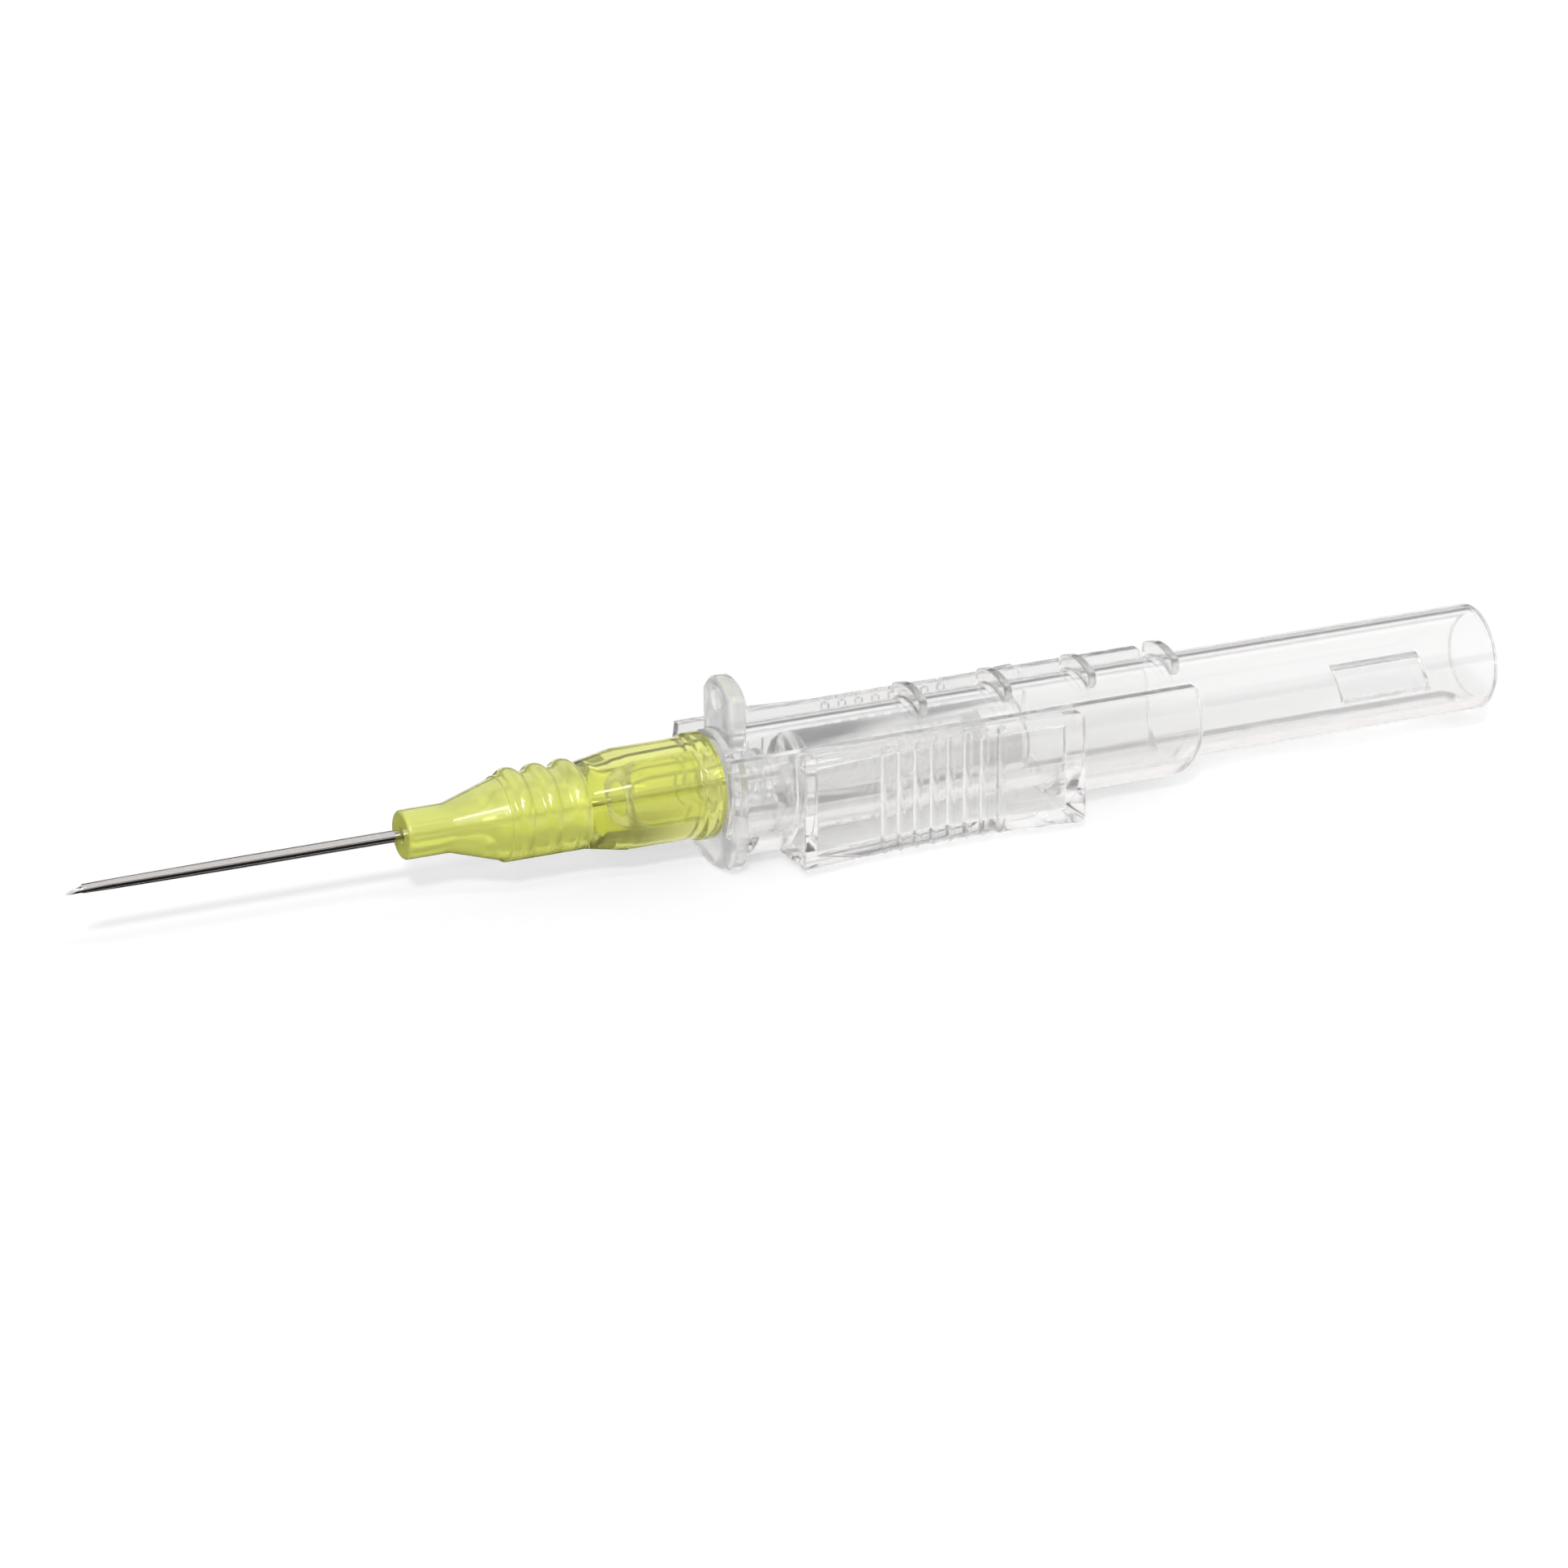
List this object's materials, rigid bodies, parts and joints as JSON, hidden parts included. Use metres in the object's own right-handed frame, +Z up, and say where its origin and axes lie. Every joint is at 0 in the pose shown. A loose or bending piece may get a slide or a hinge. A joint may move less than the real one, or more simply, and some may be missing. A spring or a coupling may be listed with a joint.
{
  "type": "iv cannula",
  "caption": "Safety intravenous cannula: a thin catheter on a ribbed lime hub, a steel needle through it, and a clear guard tube that slides forward along a clear channel with finger grips",
  "frame": {"origin": "under the middle of the bounding box, at the level of the lowest point of the guard's lobe", "axes": "+X along the needle from its tip to the rear of the guard, +Y to the side, +Z up, the side of the push-off tab"},
  "size_m": [0.0914, 0.01, 0.0117],
  "materials": {
    "steel": "bright drawn stainless steel",
    "catheter_polymer": "smooth, half clear thin tube",
    "hub_plastic": "translucent lime plastic, polished",
    "clear_plastic": "crystal clear moulded plastic, polished",
    "porous_plastic": "matte white, fine pores"
  },
  "bodies": {
    "housing": {"needle_housing": "clear_plastic", "needle": "steel", "vent_plug": "porous_plastic"},
    "guard": {"needle_guard": "clear_plastic"},
    "catheter": {"catheter_hub": "hub_plastic", "catheter_tube": "catheter_polymer", "tube_ferrule": "steel"}
  },
  "joints": [
    {"name": "guard_slide", "type": "slide", "parent": "housing", "child": "guard", "axis": [-1, 0, 0], "range_m": [0, 0.0374]},
    {"name": "catheter_slide", "type": "slide", "parent": "guard", "child": "catheter", "axis": [-1, 0, 0], "range_m": [0, 0.03]}
  ]
}
